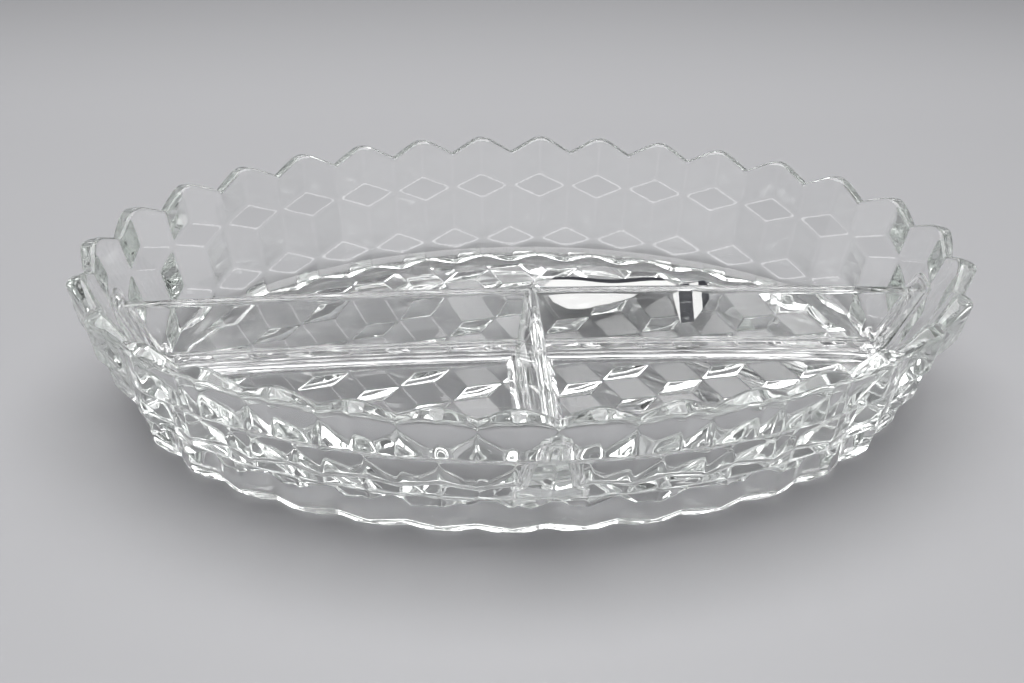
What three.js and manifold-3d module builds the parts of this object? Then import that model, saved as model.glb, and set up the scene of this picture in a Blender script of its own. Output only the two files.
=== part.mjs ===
// Oval three-compartment serving dish in clear pressed glass, with a paper price label lying in it.
// Millimetres, +Z up. Origin: centre of the oval, on the plane that the dish rests on.
// X is the long axis of the oval. The divider across the front half lies on the -Y side.

import * as THREE from 'three';
import { LoftGeometry } from 'three/addons/geometries/LoftGeometry.js';
import { mergeVertices } from 'three/addons/utils/BufferGeometryUtils.js';
import Module from 'manifold-3d';

// ---- driving dimensions ----

const TEETH = 32; // points round the rim, one per column of cubes
const PITCH = 19.4; // width of one cube, measured round the rim
const RIM_HALF_LENGTH = 122.3; // oval through the rim's notches
const RIM_HALF_WIDTH = 71.7;
const NOTCH_HEIGHT = 44.7; // table to the bottom of the rim's notches
const WALL_LEAN = THREE.MathUtils.degToRad(18.5); // from upright, opening outwards

const RIM_RISE = 0.281 * PITCH; // how far the rim climbs from a notch to a point
const TOOTH_ROUNDING = 0.36; // share of the climb over which a rim point is rounded off
const CUBE_RISE = 0.215 * PITCH; // how far a cube's slanting edge climbs over half a pitch
const CUBE_DROP = 0.7 * PITCH; // length of a cube's upright edge
const FIRST_ROW = 0.6 * PITCH; // notch to the side corners of the first row of lozenges
const LEVEL_STEP = 0.125 * PITCH; // height between one level of cube corners and the next
const FOOT_BAND = 1.2; // plain band between the lowest cube corners and the table

const RIM_THICKNESS = 3.4; // at the notches, the thinnest place
const INNER_TAPER = 0.07; // how much faster the inner face closes in than the outer one
const RIM_CHAMFER = 0.8;

const FLOOR_HEIGHT = 16; // inner floor above the table, at the middle
const FLOOR_CROWN = 3.0; // drop of the floor from the middle to the ends of the oval
const FLOOR_FILLET = 6;
const FLOOR_GLASS = 6; // glass over the shallowest corners of the underside

const FLOOR_CUBE = 9.73; // edge of the cubes pressed into the underside
const ROW_SPACING = 7.66; // from one row of their corners to the next, across the dish
const CORNER_OFFSET = new THREE.Vector2(-3.3, -3.5); // a lowest corner, from the middle
const FLOOR_STEP = 2.2;
const FOOT_WIDTH = 6; // plain ring that the dish rests on

const DIVIDER_TOP = 3.2; // thickness of the long divider at its top edge
const DIVIDER_FOOT = 5.6;
const DIVIDER_FILLET = 3.0;
const DIVIDER_HEIGHT = 37.3; // top edge above the table, at the middle
const DIVIDER_SAG = 3.4; // how much lower the top edge is at the wall
const CROSS_TOP = 3.8;
const CROSS_FOOT = 7.4;

const LABEL_LENGTH = 53;
const LABEL_ROUND_WIDTH = 21; // across its rounded end
const LABEL_SQUARE_WIDTH = 22; // across its square end
const LABEL_FAR_EDGE = 4; // from the centre line to the far corner of the square end
const LABEL_THICKNESS = 0.3;
const LABEL_GAP = 0.45; // clear of the glass
const LABEL_CENTRE = new THREE.Vector2(33, 27);

// ---- the oval ----

const FINE = 4; // points per pitch on every ring
const RING_POINTS = TEETH * FINE;

// A closed ellipse sampled at equal steps along its length, starting at the notch at +Y.
const rimOval = new THREE.EllipseCurve(0, 0, RIM_HALF_LENGTH, RIM_HALF_WIDTH, 0, 2 * Math.PI);
rimOval.arcLengthDivisions = 4000;

function ovalPoint(index) {
  const share = (index / RING_POINTS + 0.25) % 1;
  const point = rimOval.getPointAt(share);
  const across = new THREE.Vector2(
    point.x / RIM_HALF_LENGTH ** 2,
    point.y / RIM_HALF_WIDTH ** 2
  );
  return { point, across: across.normalize() };
}

// A ring of points round the dish. inset(i) is measured inwards from the rim's oval.
function ring(inset, height) {
  const points = [];
  for (let i = 0; i < RING_POINTS; i++) {
    const { point, across } = ovalPoint(i);
    const spot = point.clone().addScaledVector(across, -inset(i));
    const z = typeof height === 'function' ? height(i, spot) : height;
    points.push(new THREE.Vector3(spot.x, spot.y, z));
  }
  return points;
}

// A ring lying on the sloping wall: depth(i) down the wall from the notches, sunk(i) into it.
function wallRing(depth, sunk) {
  return ring(
    (i) => depth(i) * Math.sin(WALL_LEAN) + sunk(i) * Math.cos(WALL_LEAN),
    (i) => NOTCH_HEIGHT - depth(i) * Math.cos(WALL_LEAN) + sunk(i) * Math.sin(WALL_LEAN)
  );
}

// 0 on a notch column, 1 on a point column, even steps between.
function towardsPoint(i) {
  const inPitch = i % FINE;
  return (inPitch <= FINE / 2 ? inPitch : FINE - inPitch) / (FINE / 2);
}

// A ring that follows the cube corners, with its values at the notch and the point columns.
// Level 0 lies on the rim's oval and each level stands one step further out.
function cubeRing(notchDepth, notchLevel, pointDepth, pointLevel) {
  const mix = THREE.MathUtils.lerp;
  return wallRing(
    (i) => mix(notchDepth, pointDepth, towardsPoint(i)),
    (i) => -mix(notchLevel, pointLevel, towardsPoint(i)) * LEVEL_STEP
  );
}

// Depth of the rim's zigzag, its points rounded off.
function rimDepth(i) {
  const t = towardsPoint(i);
  const past = Math.max(t - 1 + TOOTH_ROUNDING, 0);
  return -RIM_RISE * (t - past ** 2 / (2 * TOOTH_ROUNDING));
}

// The inner face, measured as sunk into the wall from the notches' outer face.
function innerSunk(depth) {
  return RIM_THICKNESS + INNER_TAPER * Math.max(depth, 0);
}

function floorHeight(x) {
  return FLOOR_HEIGHT - FLOOR_CROWN * (x / RIM_HALF_LENGTH) ** 2;
}

// ---- booleans ----

const wasm = await Module();
wasm.setup();

// Welds a geometry and drops the faces that have closed up to nothing.
function weld(geometry) {
  const bare = new THREE.BufferGeometry().copy(geometry);
  bare.deleteAttribute('normal');
  bare.deleteAttribute('uv');
  const welded = mergeVertices(bare, 1e-4);
  const kept = [];
  const index = welded.index.array;
  for (let i = 0; i < index.length; i += 3) {
    const [a, b, c] = index.slice(i, i + 3);
    if (a !== b && b !== c && c !== a) kept.push(a, b, c);
  }
  welded.setIndex(kept);
  return welded;
}

function toSolid(geometry) {
  const welded = weld(geometry);
  return new wasm.Manifold(new wasm.Mesh({
    numProp: 3,
    vertProperties: new Float32Array(welded.attributes.position.array),
    triVerts: new Uint32Array(welded.index.array)
  }));
}

function toGeometry(solid) {
  const mesh = solid.getMesh();
  const geometry = new THREE.BufferGeometry();
  geometry.setAttribute('position', new THREE.BufferAttribute(mesh.vertProperties, 3));
  geometry.setIndex(new THREE.BufferAttribute(mesh.triVerts, 1));
  geometry.computeVertexNormals();
  return geometry;
}

// ---- the bowl: stacked-cube relief outside, plain inside ----

const SECOND_ROW = FIRST_ROW + CUBE_RISE + CUBE_DROP;
const THIRD_ROW = SECOND_ROW + CUBE_RISE + CUBE_DROP;

function outerRings() {
  const footDepth = (NOTCH_HEIGHT - LEVEL_STEP * Math.sin(WALL_LEAN)) / Math.cos(WALL_LEAN);
  return [
    wallRing(() => footDepth, () => -LEVEL_STEP),
    cubeRing(footDepth - FOOT_BAND, 1, THIRD_ROW - CUBE_RISE, 2),
    cubeRing(SECOND_ROW + CUBE_RISE, 0, SECOND_ROW, 1),
    cubeRing(SECOND_ROW - CUBE_RISE, 2, SECOND_ROW, 1),
    cubeRing(FIRST_ROW, 1, FIRST_ROW + CUBE_RISE, 0),
    cubeRing(FIRST_ROW, 1, FIRST_ROW - CUBE_RISE, 2)
  ];
}

// Where the rim's outer edge lies: on the oval at a notch, one level out at a point.
function rimSunk(i) {
  return -LEVEL_STEP * towardsPoint(i);
}

function rimRings() {
  return [
    wallRing((i) => rimDepth(i) + RIM_CHAMFER, rimSunk),
    wallRing(rimDepth, (i) => rimSunk(i) + RIM_CHAMFER),
    wallRing(rimDepth, () => RIM_THICKNESS - RIM_CHAMFER),
    wallRing((i) => rimDepth(i) + RIM_CHAMFER, () => RIM_THICKNESS)
  ];
}

// Depth down the wall at which the inner face meets the floor, before the fillet.
const FLOOR_DEPTH = (NOTCH_HEIGHT - FLOOR_HEIGHT + FLOOR_CROWN / 2) / Math.cos(WALL_LEAN);

function innerRings() {
  const rings = [];
  for (const depth of [0.35 * PITCH, FLOOR_DEPTH - FLOOR_FILLET]) {
    rings.push(wallRing(() => depth, () => innerSunk(depth)));
  }
  // The fillet: a quarter turn from the wall's slope to the floor, then the crowned floor.
  const foot = FLOOR_DEPTH * Math.sin(WALL_LEAN) + innerSunk(FLOOR_DEPTH) * Math.cos(WALL_LEAN);
  for (const turn of [0.35, 0.7, 1]) {
    const angle = turn * (Math.PI / 2 - WALL_LEAN);
    const inset = foot - FLOOR_FILLET * Math.sin(WALL_LEAN) * (1 - turn);
    const run = FLOOR_FILLET * 0.9 * turn;
    const lift = FLOOR_FILLET * (1 - Math.sin(WALL_LEAN + angle));
    rings.push(ring(() => inset + run, (i, spot) => floorHeight(spot.x) + lift));
  }
  return rings;
}

// Ever smaller ovals that carry the crown of the floor in to the middle.
function floorRings(edge) {
  return [0.72, 0.4].map((share) => edge.map(({ x, y }) => (
    new THREE.Vector3(x * share, y * share, floorHeight(x * share))
  )));
}

function bowl() {
  const inner = innerRings();
  const floor = floorRings(inner[inner.length - 1]);
  const rings = [...outerRings(), ...rimRings(), ...inner, ...floor];
  return toSolid(new LoftGeometry(rings, { capStart: true, capEnd: true }));
}

// ---- the underside: a hollow whose roof is pressed in cubes ----

const HOLLOW_COLUMNS = 30;
const HOLLOW_ROWS = 18;

// Three neighbouring corners of the triangular grid always stand at three different levels.
function underside() {
  const box = new THREE.BoxGeometry(
    HOLLOW_COLUMNS, HOLLOW_ROWS, 1, HOLLOW_COLUMNS, HOLLOW_ROWS, 1
  );
  const spots = box.attributes.position;
  for (let i = 0; i < spots.count; i++) {
    const column = Math.round(spots.getX(i) + HOLLOW_COLUMNS / 2);
    const row = Math.round(spots.getY(i) + HOLLOW_ROWS / 2);
    const x = (spots.getX(i) - spots.getY(i) / 2) * FLOOR_CUBE + CORNER_OFFSET.x;
    const y = spots.getY(i) * ROW_SPACING + CORNER_OFFSET.y;
    const level = 2 - (column + row) % 3;
    const roof = floorHeight(x) - FLOOR_GLASS - level * FLOOR_STEP;
    spots.setXYZ(i, x, y, spots.getZ(i) > 0 ? roof : -FLOOR_HEIGHT);
  }
  const inset = NOTCH_HEIGHT * Math.tan(WALL_LEAN) - LEVEL_STEP + FOOT_WIDTH;
  const outline = [-FLOOR_HEIGHT - 1, FLOOR_HEIGHT].map((z) => ring(() => inset, z));
  const plug = toSolid(new LoftGeometry(outline, { capStart: true, capEnd: true }));
  return toSolid(box).intersect(plug);
}

// ---- the dividers ----

// Half outline of a divider: flared foot, straight flank, rounded top.
function dividerOutline(top, foot, height, floor) {
  const half = [
    [foot / 2 + DIVIDER_FILLET, floor - 2],
    [foot / 2 + DIVIDER_FILLET, floor + 0.05],
    [foot / 2 + 0.3 * DIVIDER_FILLET, floor + 0.3 * DIVIDER_FILLET],
    [foot / 2, floor + DIVIDER_FILLET],
    [top / 2, height - top / 2],
    [0.35 * top, height - 0.15 * top]
  ];
  const mirrored = half.map(([across, z]) => [-across, z]).reverse();
  return [...half, [0, height], ...mirrored];
}

function topEdge(along, reach) {
  return DIVIDER_HEIGHT - DIVIDER_SAG * (along / reach) ** 2;
}

function longDivider() {
  const stations = 12;
  const sections = [];
  for (let i = 0; i <= stations; i++) {
    const x = RIM_HALF_LENGTH * (2 * i / stations - 1);
    const height = topEdge(x, RIM_HALF_LENGTH);
    const outline = dividerOutline(DIVIDER_TOP, DIVIDER_FOOT, height, floorHeight(x));
    sections.push(outline.map(([y, z]) => new THREE.Vector3(x, y, z)));
  }
  return toSolid(new LoftGeometry(sections, { capStart: true, capEnd: true }));
}

function crossDivider() {
  const stations = 6;
  const sections = [];
  for (let i = 0; i <= stations; i++) {
    const y = -RIM_HALF_WIDTH * i / stations;
    const height = topEdge(y, RIM_HALF_WIDTH) - 0.02;
    const outline = dividerOutline(CROSS_TOP, CROSS_FOOT, height, floorHeight(0));
    sections.push(outline.map(([x, z]) => new THREE.Vector3(x, y, z)));
  }
  return toSolid(new LoftGeometry(sections, { capStart: true, capEnd: true }));
}

// What lies inside the middle of the wall's thickness: dividers are cut off there.
function insideOfWall() {
  const bite = 1.2;
  const depths = [FLOOR_DEPTH + 4, -CUBE_RISE];
  const rings = depths.map((depth) => wallRing(() => depth, () => innerSunk(depth) - bite));
  return toSolid(new LoftGeometry(rings, { capStart: true, capEnd: true }));
}

const glassDish = new THREE.Mesh(
  toGeometry(bowl().add(longDivider().add(crossDivider()).intersect(insideOfWall()))
    .subtract(underside())),
  new THREE.MeshStandardMaterial({ color: 0xe6ebe9, roughness: 0.04, metalness: 0 })
);
glassDish.name = 'glass_dish';

// ---- the paper label: a loose slip with one rounded end and one square end ----

function labelGeometry() {
  const outline = new THREE.Shape();
  const half = LABEL_ROUND_WIDTH / 2;
  outline.moveTo(-LABEL_LENGTH / 2 + half, -half);
  outline.lineTo(LABEL_LENGTH / 2, LABEL_FAR_EDGE - LABEL_SQUARE_WIDTH);
  outline.lineTo(LABEL_LENGTH / 2, LABEL_FAR_EDGE);
  outline.lineTo(-LABEL_LENGTH / 2 + half, half);
  outline.absarc(-LABEL_LENGTH / 2 + half, 0, half, Math.PI / 2, 1.5 * Math.PI, false);
  return weld(new THREE.ExtrudeGeometry(outline, {
    depth: LABEL_THICKNESS, bevelEnabled: false, curveSegments: 10
  }));
}

const priceLabel = new THREE.Mesh(
  labelGeometry(),
  new THREE.MeshStandardMaterial({ color: 0xf4f3ef, roughness: 0.7, metalness: 0 })
);
priceLabel.name = 'price_label';
priceLabel.position.set(
  LABEL_CENTRE.x, LABEL_CENTRE.y, floorHeight(LABEL_CENTRE.x) + LABEL_GAP
);
priceLabel.rotation.y = Math.atan(2 * FLOOR_CROWN * LABEL_CENTRE.x / RIM_HALF_LENGTH ** 2);

const group = new THREE.Group();
group.add(glassDish, priceLabel);

export default group;
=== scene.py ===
import math
import bmesh
import bpy
import numpy as np
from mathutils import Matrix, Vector


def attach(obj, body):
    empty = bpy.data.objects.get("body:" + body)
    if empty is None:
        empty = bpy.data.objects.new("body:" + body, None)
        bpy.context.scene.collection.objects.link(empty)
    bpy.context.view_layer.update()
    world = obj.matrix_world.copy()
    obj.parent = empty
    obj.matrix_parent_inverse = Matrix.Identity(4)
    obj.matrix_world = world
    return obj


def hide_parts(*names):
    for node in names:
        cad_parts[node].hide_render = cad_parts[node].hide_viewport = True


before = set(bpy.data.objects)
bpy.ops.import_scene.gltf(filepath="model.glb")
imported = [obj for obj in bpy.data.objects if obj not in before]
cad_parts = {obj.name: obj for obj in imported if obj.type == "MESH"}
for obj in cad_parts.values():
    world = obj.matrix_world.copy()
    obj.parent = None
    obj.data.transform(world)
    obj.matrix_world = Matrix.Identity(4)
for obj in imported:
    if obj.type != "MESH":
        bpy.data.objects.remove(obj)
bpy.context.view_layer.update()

# ---- The bowl ----
# One pressing of clear soda-lime glass: an oval with thirty-two columns of stacked cubes round
# its outside, whose uppermost corners make the zigzag rim. The plunger leaves the inside plain,
# and fire polishing melts the edges soft.

TEETH = 32
PITCH = 0.0194
OVAL_HALF_LENGTH = 0.1223
OVAL_HALF_WIDTH = 0.0717
NOTCH_HEIGHT = 0.0447
WALL_LEAN = math.radians(18.5)
RIM_RISE = 0.281 * PITCH
CUBE_RISE = 0.215 * PITCH
CUBE_DROP = 0.70 * PITCH
FIRST_ROW = 0.6 * PITCH
SECOND_ROW = FIRST_ROW + CUBE_RISE + CUBE_DROP
THIRD_ROW = SECOND_ROW + CUBE_RISE + CUBE_DROP
LEVEL_STEP = 0.1222 * PITCH
CUBE_EDGE_ROUNDING = 0.0011
EDGE_ROWS = ((.0005, .1), (.0011, .2), (.0018, .3))   # from an edge, and its most share of a face
RIM_THICKNESS = 0.0034        # at the notches, the thinnest place
INNER_TAPER = 0.07            # how fast the wall thickens downwards
RIM_POINT_ROUNDING = 0.36     # share of half a pitch
RIM_OUTER_RADIUS = 0.0013
RIM_INNER_RADIUS = 0.0016
FLOOR_HEIGHT = 0.016
FLOOR_CROWN = 0.0030
FLOOR_FILLET = 0.006
FLOOR_EDGE = 0.021            # how far inside the oval the floor meets the wall
FOOT_RADIUS = 0.0012

SLOPE_IN = math.sin(WALL_LEAN)
SLOPE_DOWN = math.cos(WALL_LEAN)
FOOT_DEPTH = (NOTCH_HEIGHT - LEVEL_STEP * SLOPE_IN) / SLOPE_DOWN

# Equal steps along the oval, from the notch at +Y.
turns = np.linspace(0, 2 * math.pi, 40001) + math.pi / 2
walk_x = OVAL_HALF_LENGTH * np.cos(turns)
walk_y = OVAL_HALF_WIDTH * np.sin(turns)
walk = np.concatenate([[0], np.cumsum(np.hypot(np.diff(walk_x), np.diff(walk_y)))])


def oval_spot(column):
    """The point of the rim's oval at a column, counted in pitches, and its outward direction."""
    angle = np.interp((column / TEETH) % 1 * walk[-1], walk, turns)
    x, y = OVAL_HALF_LENGTH * np.cos(angle), OVAL_HALF_WIDTH * np.sin(angle)
    out_x, out_y = x / OVAL_HALF_LENGTH ** 2, y / OVAL_HALF_WIDTH ** 2
    size = np.hypot(out_x, out_y)
    return x, y, out_x / size, out_y / size


def wall_spot(column, depth, sunk):
    """A point a depth down the leaning wall from the notches, sunk into it from the notches' face."""
    x, y, out_x, out_y = oval_spot(column)
    inset = depth * SLOPE_IN + sunk * SLOPE_DOWN
    height = NOTCH_HEIGHT - depth * SLOPE_DOWN + sunk * SLOPE_IN
    return np.stack([x - out_x * inset, y - out_y * inset, height], axis=-1)


def towards_point(column):
    """0 on a notch column, 1 on the column of a rim point."""
    return 1 - np.abs(1 - (column % 1) * 2)


def cube_lines(t):
    """Depth and level of the cubes' zigzag lines, from the rim down."""
    return [
        (-CUBE_RISE * t, t),
        (FIRST_ROW - CUBE_RISE * t, 1 + t),
        (FIRST_ROW + CUBE_RISE * t, 1 - t),
        (SECOND_ROW - CUBE_RISE * (1 - t), 2 - t),
        (SECOND_ROW + CUBE_RISE * (1 - t), t),
        (THIRD_ROW - CUBE_RISE * t, 1 + t),
        (THIRD_ROW + CUBE_RISE * t, 1 - t),
        (THIRD_ROW + 2 * CUBE_RISE + CUBE_DROP, 1 + 0 * t),
    ]


def cube_level(column, depth):
    """Level of the cubes' faces at a spot: 2 stands proudest, 0 is the deepest corner."""
    lines = cube_lines(towards_point(column))
    level = None
    for (top, top_level), (low, low_level) in zip(lines, lines[1:]):
        share = (depth - top) / np.maximum(low - top, 1e-9)
        here = top_level + (low_level - top_level) * share
        level = here if level is None else np.where(depth > top, here, level)
    return level


def cube_sunk(column, depth):
    """How far the outside is sunk at a spot, averaged over the width of a melted edge.

    A proud spot is sunk by less than nothing.
    """
    total = weight = 0
    steps = np.linspace(-1, 1, 9)
    for i in steps:
        for j in steps:
            if i * i + j * j > 1.01:
                continue
            share = 1.05 - i * i - j * j
            shift = i * CUBE_EDGE_ROUNDING / PITCH
            drop = j * CUBE_EDGE_ROUNDING
            total = total + share * cube_level(column + shift, depth + drop)
            weight += share
    return -total / weight * LEVEL_STEP


def rim_depth(t):
    """Depth of the rim's zigzag top, its points rounded."""
    past = np.maximum(t - 1 + RIM_POINT_ROUNDING, 0)
    return -RIM_RISE * (t - past ** 2 / (2 * RIM_POINT_ROUNDING))


def floor_height(x):
    """Height of the crowned floor, which falls towards both ends."""
    return FLOOR_HEIGHT - FLOOR_CROWN * (x / OVAL_HALF_LENGTH) ** 2


half_pitch_stops = np.array([0, .05, .11, .18, .3, .5, .7, .82, .89, .95])
columns = np.concatenate([(i + half_pitch_stops) / 2 for i in range(2 * TEETH)] + [[TEETH]])
t = towards_point(columns)


def band_rows(top, low):
    """Rows between two lines, close together next to each, where the melted edges are."""
    width = low - top
    near = [np.minimum(offset, width * share) for offset, share in EDGE_ROWS]
    middle = [top + .42 * width, top + .58 * width]
    return [top + offset for offset in near] + middle + [low - offset for offset in reversed(near)] + [low]


rows = []

# The foot: a small round from the table up to the wall.
for turn in np.linspace(0, math.pi / 2, 5)[:-1]:
    back = FOOT_RADIUS * (1 - math.sin(turn))
    lift = FOOT_RADIUS * (1 - math.cos(turn))
    spot = wall_spot(columns, FOOT_DEPTH - lift, cube_sunk(columns, FOOT_DEPTH - lift) + back)
    spot[:, 2] = lift
    rows.append(spot)

# The outside, from the foot up to the rim.
lines = [depth for depth, level in cube_lines(t)]
lines[0] = rim_depth(t) + RIM_OUTER_RADIUS
wall_end = FOOT_DEPTH - FOOT_RADIUS
lines[6:] = [wall_end + 0 * t]
outside = [lines[0]]
for top, low in zip(lines, lines[1:]):
    outside += band_rows(np.minimum(top, wall_end), np.minimum(low, wall_end))
for depth in reversed(outside):
    rows.append(wall_spot(columns, depth, cube_sunk(columns, depth)))

# The rim: rounded outer corner, narrow top, rounded inner corner.
outer_start = cube_sunk(columns, lines[0])
for turn in np.linspace(0, math.pi / 2, 6)[1:]:
    rows.append(wall_spot(
        columns,
        rim_depth(t) + RIM_OUTER_RADIUS * (1 - math.sin(turn)),
        outer_start + RIM_OUTER_RADIUS * (1 - math.cos(turn))))
for turn in np.linspace(math.pi / 2, 0, 7):
    rows.append(wall_spot(
        columns,
        rim_depth(t) + RIM_INNER_RADIUS * (1 - math.sin(turn)),
        RIM_THICKNESS - RIM_INNER_RADIUS * (1 - math.cos(turn)) + 0 * t))


def inner_sunk(depth):
    """How far the inside lies behind the notches' face."""
    return RIM_THICKNESS + INNER_TAPER * np.maximum(depth, 0)


# The plain inside: down the wall, round the fillet and in over the crowned floor.
inner_in = SLOPE_IN + INNER_TAPER * SLOPE_DOWN
inner_down = SLOPE_DOWN - INNER_TAPER * SLOPE_IN
inner_lean = math.atan2(inner_in, inner_down)
x, y, out_x, out_y = oval_spot(columns)
floor_z = floor_height(x - out_x * FLOOR_EDGE)
corner_depth = (NOTCH_HEIGHT + RIM_THICKNESS * SLOPE_IN - floor_z) / inner_down
corner_inset = RIM_THICKNESS * SLOPE_DOWN + corner_depth * inner_in
tangent = FLOOR_FILLET * math.tan((math.pi / 2 - inner_lean) / 2)
start = rim_depth(t) + RIM_INNER_RADIUS
last = corner_depth - tangent
for share in (.06, .15, .3, .5, .75, 1):
    depth = start + (last - start) * share
    rows.append(wall_spot(columns, depth, inner_sunk(depth)))
for turn in np.linspace(inner_lean, math.pi / 2, 9)[1:]:
    inset = corner_inset + tangent - FLOOR_FILLET * math.cos(turn)
    lift = FLOOR_FILLET * (1 - math.sin(turn))
    rows.append(np.stack([x - out_x * inset, y - out_y * inset, floor_z + lift], axis=-1))
edge = rows[-1]
for share in (.93, .8, .65, .5, .35, .2, .08, 0):
    inner_x = edge[:, 0] * share
    rows.append(np.stack([inner_x, edge[:, 1] * share, floor_height(inner_x)], axis=-1))


def wrapped_grid(name, spots):
    """A grid laid through rows of points, its seam and its closed-up rows welded."""
    spots = np.asarray(spots)
    bpy.ops.object.select_all(action='DESELECT')
    bpy.ops.mesh.primitive_grid_add(
        x_subdivisions=spots.shape[1] - 1, y_subdivisions=spots.shape[0] - 1, size=1)
    piece = bpy.context.object
    piece.name = piece.data.name = name
    piece.data.vertices.foreach_set("co", spots.reshape(-1).astype(np.float32))
    bpy.ops.object.mode_set(mode='EDIT')
    bpy.ops.mesh.select_all(action='SELECT')
    bpy.ops.mesh.remove_doubles(threshold=2e-6)
    bpy.ops.mesh.select_all(action='DESELECT')
    bpy.ops.mesh.select_mode(type='EDGE')
    bpy.ops.mesh.select_non_manifold(extend=False)
    bpy.ops.mesh.edge_face_add()
    bpy.ops.mesh.select_all(action='SELECT')
    bpy.ops.mesh.normals_make_consistent(inside=False)
    bpy.ops.object.mode_set(mode='OBJECT')
    return piece


dish = wrapped_grid("oval_dish", rows)

# ---- The dividers ----
# Upright webs of the same glass: one down the length of the dish and one across its front half.
# The plunger forms them, so they have draft, a rounded top edge, and fillets where they meet
# the floor and the wall.

DIVIDER_TOP = 0.0032
DIVIDER_FOOT = 0.0056
DIVIDER_FILLET = 0.0030
DIVIDER_HEIGHT = 0.0373
DIVIDER_SAG = 0.0034
DIVIDER_ROOT = 0.003          # how deep its foot is buried in the floor
FILLET_LIFT = 0.00004         # keeps the fillet's foot clear of the floor's own surface
CROSS_TOP = 0.0038
CROSS_FOOT = 0.0074
WALL_FILLET = 0.0035
FILLET_CLIMB = 0.7            # how far the top edge rises with the fillet at the wall
BITE = 0.0015                 # how deep their ends are buried in the wall
BURIED = 1.001                # the share of the length that stands for the buried end


def web_rows(half_oval, top, foot, shares, floor_at):
    """Cross-sections of a web at shares of its length; the first coordinate runs along it."""
    def reach(z):
        depth = (NOTCH_HEIGHT + RIM_THICKNESS * SLOPE_IN - z) / inner_down
        return half_oval - RIM_THICKNESS * SLOPE_DOWN - depth * inner_in
    sections = []
    for share in shares:
        at = share * reach(FLOOR_HEIGHT)
        floor = floor_at(at)
        gap = max((1 - abs(share)) * half_oval, 0)
        bulge = 0
        if gap < WALL_FILLET:
            bulge = WALL_FILLET - math.sqrt(WALL_FILLET ** 2 - (WALL_FILLET - gap) ** 2)
        height = DIVIDER_HEIGHT - DIVIDER_SAG * (at / half_oval) ** 2 + FILLET_CLIMB * bulge
        half = [(foot / 2 + DIVIDER_FILLET, floor - DIVIDER_ROOT)]
        for turn in np.linspace(0, math.pi / 2, 7):
            half.append((foot / 2 + DIVIDER_FILLET * (1 - math.sin(turn)),
                         floor + FILLET_LIFT + DIVIDER_FILLET * (1 - math.cos(turn))))
        half.append(((top + foot) / 4, (floor + DIVIDER_FILLET + height - top / 2) / 2))
        for turn in np.linspace(0, math.pi / 2, 7)[:-1]:
            half.append((top / 2 * math.cos(turn), height - top / 2 * (1 - math.sin(turn))))
        half = [(across + bulge, z) for across, z in half]
        outline = half + [(0, height)] + [(-across, z) for across, z in reversed(half)]
        outline.append(outline[0])
        beyond = BITE if abs(share) > 1 else 0
        sections.append([
            (math.copysign(1, share) * (min(abs(share), 1) * reach(z) + beyond), across, z)
            for across, z in outline])
    return sections


near_wall = [1 - gap for gap in (.045, .03, .025, .018, .012, .007, .003, .001, 0)] + [BURIED]
long_shares = sorted(set(near_wall) | {-share for share in near_wall} | set(np.linspace(-.92, .92, 25)))
long_rows = web_rows(OVAL_HALF_LENGTH, DIVIDER_TOP, DIVIDER_FOOT, long_shares, floor_height)
cross_shares = sorted([0.0] + list(np.linspace(.03, .92, 14)) + near_wall)
cross_rows = web_rows(OVAL_HALF_WIDTH, CROSS_TOP, CROSS_FOOT, cross_shares, lambda at: FLOOR_HEIGHT)
cross_rows = [[(across, -along, z) for along, across, z in section] for section in cross_rows]
long_web = wrapped_grid("long_divider", long_rows)
cross_web = wrapped_grid("cross_divider", cross_rows)

# ---- The hollow underside ----
# The mould's base plate presses stacked cubes into the underside of the floor, inside a plain
# ring on which the dish stands. The glass is then one solid: bowl, dividers and hollow together.

FLOOR_GLASS = 0.006           # from the floor to the deepest corners of the cubes
FLOOR_CUBE = 0.00973
ROW_SPACING = 0.00766
BASE_CORNER_X, BASE_CORNER_Y = -0.0033, -0.0035
FLOOR_STEP = 0.0022
CUBE_ROWS = range(-9, 10)
CUBE_COLUMNS = range(-16, 17)
BASE_EDGE_ROUNDING = 0.0005
BASE_PLATE_BOTTOM = -0.012
FOOT_WIDTH = 0.006
HOLLOW_FLARE = ((-.010, .0012), (0, .0012), (.0002, .0007), (.0005, .0003), (.0009, .0001),
                (.0015, 0), (.020, -.002))    # height, and how far the hollow widens there
SOFT_EDGE = math.radians(32)

plate = bmesh.new()
corner = {}
for row in CUBE_ROWS:
    for column in CUBE_COLUMNS:
        x = (column - row / 2) * FLOOR_CUBE + BASE_CORNER_X
        y = row * ROW_SPACING + BASE_CORNER_Y
        level = (2, 1, 0)[(column + row) % 3]
        z = floor_height(x) - FLOOR_GLASS - level * FLOOR_STEP
        corner[column, row] = plate.verts.new((x, y, z)), level
AROUND = [(1, 0), (1, 1), (0, 1), (-1, 0), (-1, -1), (0, -1)]
for (column, row), (vert, level) in list(corner.items()):
    if level != 2:
        continue
    for i in range(6):
        near = [AROUND[(i + k) % 6] for k in (0, 1, 2)]
        spots = [corner.get((column + dx, row + dy)) for dx, dy in near]
        if None in spots or spots[0][1] != 1 or spots[1][1] != 0:
            continue
        plate.faces.new((vert, spots[0][0], spots[1][0], spots[2][0]))
for vert in [v for v in plate.verts if not v.link_faces]:
    plate.verts.remove(vert)
inner_edges = [e for e in plate.edges if len(e.link_faces) == 2]
bmesh.ops.bevel(plate, geom=inner_edges, offset=BASE_EDGE_ROUNDING, offset_type='OFFSET',
                segments=3, profile=.5, affect='EDGES', clamp_overlap=True)
outer_edges = [e for e in plate.edges if len(e.link_faces) == 1]
grown = bmesh.ops.extrude_edge_only(plate, edges=outer_edges)
low_edges = [g for g in grown["geom"] if isinstance(g, bmesh.types.BMEdge)]
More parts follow.
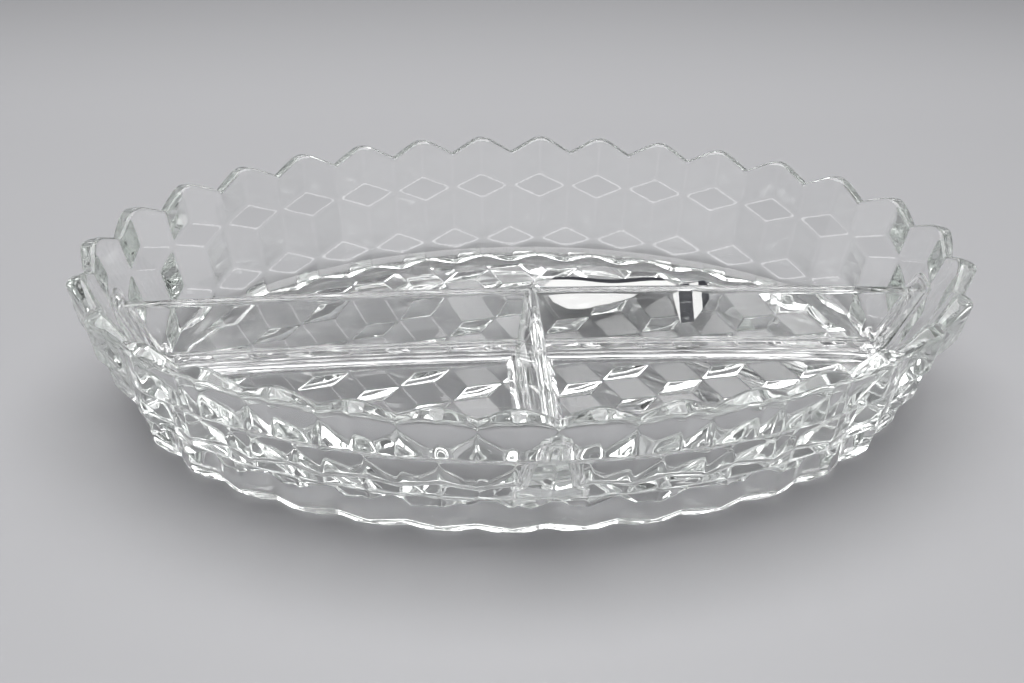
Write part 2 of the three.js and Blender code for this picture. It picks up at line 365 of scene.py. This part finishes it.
for vert in {v for e in low_edges for v in e.verts}:
    vert.co.z = BASE_PLATE_BOTTOM
bmesh.ops.edgenet_fill(plate, edges=low_edges)
bmesh.ops.recalc_face_normals(plate, faces=plate.faces)
plate_mesh = bpy.data.meshes.new("base_plate")
plate.to_mesh(plate_mesh)
plate.free()
base_plate = bpy.data.objects.new("base_plate", plate_mesh)
bpy.context.collection.objects.link(base_plate)

x, y, out_x, out_y = oval_spot(np.linspace(0, TEETH, 8 * TEETH + 1))
hollow_inset = NOTCH_HEIGHT * math.tan(WALL_LEAN) - LEVEL_STEP + FOOT_WIDTH
plug_rows = []
for z, flare in HOLLOW_FLARE:
    inset = hollow_inset - flare
    plug_rows.append(np.stack([x - out_x * inset, y - out_y * inset, z + 0 * x], axis=-1))
plug = wrapped_grid("base_plug", plug_rows)


def combine(piece, other, operation):
    """A boolean applied to a piece; the other piece is used up."""
    bpy.ops.object.select_all(action='DESELECT')
    bpy.context.view_layer.objects.active = piece
    piece.select_set(True)
    cut = piece.modifiers.new("join", 'BOOLEAN')
    cut.operation = operation
    cut.solver = 'EXACT'
    cut.object = other
    bpy.ops.object.modifier_apply(modifier=cut.name)
    bpy.data.objects.remove(other)


combine(base_plate, plug, 'INTERSECT')
combine(long_web, cross_web, 'UNION')
combine(dish, long_web, 'UNION')
combine(dish, base_plate, 'DIFFERENCE')
bpy.ops.object.shade_smooth_by_angle(angle=SOFT_EDGE)

# The glass itself: clear, a little green in the thick places, with the faint waviness that hot
# glass keeps from the mould.

GLASS_INDEX = 1.52
GLASS_ROUGHNESS = 0.01
GLASS_TINT = (0.755, 0.80, 0.765, 1)
TINT_DENSITY = 8.0
WAVE_SCALE, RIPPLE_SCALE = 38.0, 170.0
RIPPLE_SHARE = 0.12
WAVE_STRENGTH, WAVE_DEPTH = 0.35, 0.0006


class Socket:
    """A shader socket whose arithmetic adds Math nodes."""

    def __init__(self, tree, out):
        self.tree, self.out = tree, out

    def node(self, kind, settings=None, **values):
        """A new node's outputs. Its inputs are given by name, or as i and a number."""
        made = self.tree.nodes.new(kind)
        for key, value in (settings or {}).items():
            setattr(made, key, value)
        for key, value in values.items():
            numbered = key[0] == "i" and key[1:].isdigit()
            target = made.inputs[int(key[1:]) if numbered else key.replace("_", " ")]
            if isinstance(value, Socket):
                self.tree.links.new(value.out, target)
            else:
                target.default_value = value
        return [Socket(self.tree, out) for out in made.outputs]

    def maths(self, operation, *values):
        numbered = {f"i{k}": value for k, value in enumerate(values)}
        return self.node('ShaderNodeMath', {"operation": operation}, **numbered)[0]

    def __add__(self, other):
        return self.maths('ADD', self, other)

    def __sub__(self, other):
        return self.maths('SUBTRACT', self, other)

    def __rsub__(self, other):
        return self.maths('SUBTRACT', other, self)

    def __mul__(self, other):
        return self.maths('MULTIPLY', self, other)

    __radd__ = __add__
    __rmul__ = __mul__


def new_material(name):
    """An empty material, and the place on the piece that its patterns are laid out by."""
    material = bpy.data.materials.new(name)
    material.use_nodes = True
    tree = material.node_tree
    tree.nodes.clear()
    coords = tree.nodes.new('ShaderNodeTexCoord')
    return material, Socket(tree, coords.outputs['Object'])


glass, place = new_material("pressed_glass")
waves = place.node('ShaderNodeTexNoise', Vector=place, Scale=WAVE_SCALE, Detail=1.0)[0]
ripples = place.node('ShaderNodeTexNoise', Vector=place, Scale=RIPPLE_SCALE, Detail=2.0)[0]
waviness = place.node('ShaderNodeBump', Height=waves + ripples * RIPPLE_SHARE,
                      Strength=WAVE_STRENGTH, Distance=WAVE_DEPTH)[0]
surface = place.node('ShaderNodeBsdfPrincipled', Base_Color=(1, 1, 1, 1), Roughness=GLASS_ROUGHNESS,
                     IOR=GLASS_INDEX, Transmission_Weight=1.0, Normal=waviness)[0]
tint = place.node('ShaderNodeVolumeAbsorption', Color=GLASS_TINT, Density=TINT_DENSITY)[0]
place.node('ShaderNodeOutputMaterial', Surface=surface, Volume=tint)

dish.data.materials.clear()
dish.data.materials.append(glass)
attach(dish, "root")
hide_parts("glass_dish")

# ---- The price label ----
# A die-cut slip of white coated paper, lying loose on the floor of the long compartment. Its
# tail is printed with two black bars and its far edge with a black line; it has curled a little.

MM = 0.001
LABEL_OUTLINE = [
    (6.6, 27), (7.2, 22.5), (9.4, 18.9), (13.5, 16.9), (19, 16.4), (26, 17.7), (33, 20),
    (41, 23.2), (46.4, 25), (47.0, 9.4), (50.8, 9.2), (54.2, 13), (57, 16), (59.2, 27),
    (58.6, 30.2), (50, 30.8), (46, 35.4), (34, 36.6), (22, 37.4), (12, 37.2), (8.4, 33)]
LABEL_PAPER = 0.00014
LABEL_CLEAR = 0.0005          # the slip's height over the floor where it lies flattest
TAIL_START, TAIL_LENGTH, TAIL_LIFT = 0.046, 0.013, 0.0016
BOW_MIDDLE, BOW_REACH, BOW_LIFT = 0.026, 0.02, 0.0009
COCKLE, COCKLE_ALONG, COCKLE_AWAY = 0.0004, 260, 90
PAPER_WHITE = (.79, .79, .78, 1)
INK_BLACK = (.014, .015, .022, 1)
PRINT_SLANT = 0.14
INK_BLEED = 0.0004
FIRST_BAR = (.0459, .0500)
SECOND_BAR = (.0528, .0570)
EDGE_LINE_SLANT = 0.065
EDGE_LINE_AWAY = (.0368, .0500)
EDGE_LINE_ACROSS = (.009, .0470)

bpy.ops.object.select_all(action='DESELECT')
bpy.ops.mesh.primitive_circle_add(vertices=len(LABEL_OUTLINE), fill_type='NGON')
label = bpy.context.object
label.name = label.data.name = "paper_label"
label_spots = [(x * MM, y * MM, 0) for x, y in LABEL_OUTLINE]
label.data.vertices.foreach_set("co", [value for spot in label_spots for value in spot])
bpy.ops.object.mode_set(mode='EDIT')
bpy.ops.mesh.select_all(action='SELECT')
bpy.ops.mesh.quads_convert_to_tris()
bpy.ops.mesh.subdivide(number_cuts=7)
bpy.ops.object.mode_set(mode='OBJECT')
for vert in label.data.vertices:
    x, y = vert.co.x, vert.co.y
    tail = TAIL_LIFT * (max(x - TAIL_START, 0) / TAIL_LENGTH) ** 2
    bow = BOW_LIFT * ((x - BOW_MIDDLE) / BOW_REACH) ** 2
    cockle = COCKLE * math.sin(x * COCKLE_ALONG + y * COCKLE_AWAY)
    vert.co.z = floor_height(x) + LABEL_CLEAR + tail + bow + cockle
thick = label.modifiers.new("thickness", 'SOLIDIFY')
thick.thickness = LABEL_PAPER
thick.offset = 1
bpy.ops.object.modifier_apply(modifier=thick.name)
bpy.ops.object.mode_set(mode='EDIT')
bpy.ops.mesh.select_all(action='SELECT')
bpy.ops.mesh.normals_make_consistent(inside=False)
bpy.ops.object.mode_set(mode='OBJECT')
bpy.ops.object.shade_smooth_by_angle(angle=math.radians(40))

slip, place = new_material("label_paper")
across, away, up = place.node('ShaderNodeSeparateXYZ', Vector=place)
fibres = place.node('ShaderNodeTexNoise', Vector=place, Scale=2400.0, Detail=2.0)[0]
along_print = across - away * PRINT_SLANT + fibres * INK_BLEED
towards_edge = away + across * EDGE_LINE_SLANT + fibres * INK_BLEED


def between(value, limits):
    """1 where a value lies between two limits."""
    return value.maths('GREATER_THAN', value, limits[0]) * value.maths('LESS_THAN', value, limits[1])


edge_line = between(towards_edge, EDGE_LINE_AWAY) * between(across, EDGE_LINE_ACROSS)
printed = between(along_print, FIRST_BAR) + between(along_print, SECOND_BAR) + edge_line
printed = printed.maths('MINIMUM', printed, 1.0)
colour = place.node('ShaderNodeMix', {"data_type": 'RGBA'}, i0=printed, i6=PAPER_WHITE, i7=INK_BLACK)[2]
grain = place.node('ShaderNodeBump', Height=fibres, Strength=0.15, Distance=0.00005)[0]
surface = place.node('ShaderNodeBsdfPrincipled', Base_Color=colour, Roughness=0.55, Normal=grain)[0]
place.node('ShaderNodeOutputMaterial', Surface=surface)
label.data.materials.clear()
label.data.materials.append(slip)
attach(label, "root")
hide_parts("price_label")

# ---- The stage ----
# A sheet of pale seamless paper that lies flat under the dish and bends up behind it; its colour
# darkens as it rises, painted shade for the light falling off higher up, which the glass shows too.
# A film of air is left under the foot, so that light gets beneath the glass.

PAPER_GAP = 0.0001
PAPER_REACH = 1.6             # to each side and towards the front
BEND_START = 0.18
BEND_RADIUS = 0.2
BEND_ANGLE = math.radians(86)
WALL_TOP = (0.42, 1.2)
# height over which the paper's colour is painted darker, painted shade for the light falling off
PAINTED_SHADE_HEIGHT = 0.045
PAPER_PALE = (.42, .42, .432, 1)
PAPER_PAINTED_SHADE = (.13, .13, .137, 1)
BACKFACING = 6                # this output of the Geometry node

profile = [(-PAPER_REACH, 0)]
for turn in np.linspace(0, BEND_ANGLE, 17):
    profile.append((BEND_START + BEND_RADIUS * math.sin(turn), BEND_RADIUS - BEND_RADIUS * math.cos(turn)))
profile.append(WALL_TOP)
sweep_rows = [[(x, y, z - PAPER_GAP) for x in (-PAPER_REACH, PAPER_REACH)] for y, z in profile]
bpy.ops.object.select_all(action='DESELECT')
bpy.ops.mesh.primitive_grid_add(x_subdivisions=1, y_subdivisions=len(profile) - 1, size=1)
sweep = bpy.context.object
sweep.name = "sweep"
sweep.data.vertices.foreach_set("co", np.asarray(sweep_rows, dtype=np.float32).reshape(-1))
bpy.ops.object.shade_smooth()

# The paper shows its face only, so that the dish can be looked at from behind as well.
paper, place = new_material("sweep_paper")
height = place.node('ShaderNodeSeparateXYZ', Vector=place)[2]
# Painted shade: the paper's colour darkens with height, standing in for the light falling off above the
# table.
shade_share = height * (1 / PAINTED_SHADE_HEIGHT)
shade_share = shade_share.maths('MAXIMUM', shade_share, 0.0)
shade_share = shade_share.maths('MINIMUM', shade_share, 1.0)
paper_with_shade = place.node('ShaderNodeMix', {"data_type": 'RGBA'}, i0=shade_share, i6=PAPER_PALE, i7=PAPER_PAINTED_SHADE)[2]
face = place.node('ShaderNodeBsdfPrincipled', Base_Color=paper_with_shade, Roughness=0.6)[0]
clear = place.node('ShaderNodeBsdfTransparent')[0]
from_behind = place.node('ShaderNodeNewGeometry')[BACKFACING]
one_sided = place.node('ShaderNodeMixShader', i0=from_behind, i1=face, i2=clear)[0]
place.node('ShaderNodeOutputMaterial', Surface=one_sided)
sweep.data.materials.append(paper)

# ---- The studio light ----
# One large softbox overhead, a weak one at each side and one in front, in a pale grey room.

ROOM_GREY = (.36, .36, .366, 1)
DISH_MIDDLE = (0, 0, .03)


def softbox(name, place, towards, size_x, size_y, watts):
    """A rectangular lamp at a place, turned to face another."""
    lamp = bpy.data.lights.new(name, 'AREA')
    lamp.shape = 'RECTANGLE'
    lamp.size, lamp.size_y = size_x, size_y
    lamp.energy = watts
    holder = bpy.data.objects.new(name, lamp)
    holder.location = place
    holder.rotation_euler = (Vector(towards) - Vector(place)).to_track_quat('-Z', 'Y').to_euler()
    holder.visible_camera = False
    bpy.context.collection.objects.link(holder)


softbox("overhead", (0, .06, .8), (0, 0, 0), .8, .6, 6.9)
for side, name in ((-1, "left"), (1, "right")):
    softbox(name, (side * 1.1, -.1, .35), DISH_MIDDLE, 1.1, .7, 1.3)
softbox("front", (0, -1.2, .5), DISH_MIDDLE, 1.4, .8, 1.8)
world = bpy.data.worlds.new("studio")
world.use_nodes = True
room = world.node_tree.nodes["Background"]
room.inputs['Color'].default_value = ROOM_GREY
room.inputs['Strength'].default_value = 1.0
bpy.context.scene.world = world

# ---- The camera ----
# It looks down on the dish from the front, a little from the left. Light is followed through
# enough bounces to get in and out of all the facets of the glass.

LENS, SENSOR = 43.67, 36
CAMERA_PLACE = (-.0351, -.2946, .2280)
CAMERA_TURN = (54.75, -1.73, -4.68)
GLASS_BOUNCES = 40
MIRROR_BOUNCES = 24

camera = bpy.data.cameras.new("camera")
camera.lens = LENS
camera.sensor_width = SENSOR
eye = bpy.data.objects.new("camera", camera)
eye.location = CAMERA_PLACE
eye.rotation_euler = [math.radians(angle) for angle in CAMERA_TURN]
bpy.context.collection.objects.link(eye)
scene = bpy.context.scene
scene.camera = eye
scene.view_settings.view_transform = 'Standard'
scene.cycles.max_bounces = GLASS_BOUNCES
scene.cycles.transmission_bounces = GLASS_BOUNCES
scene.cycles.glossy_bounces = MIRROR_BOUNCES
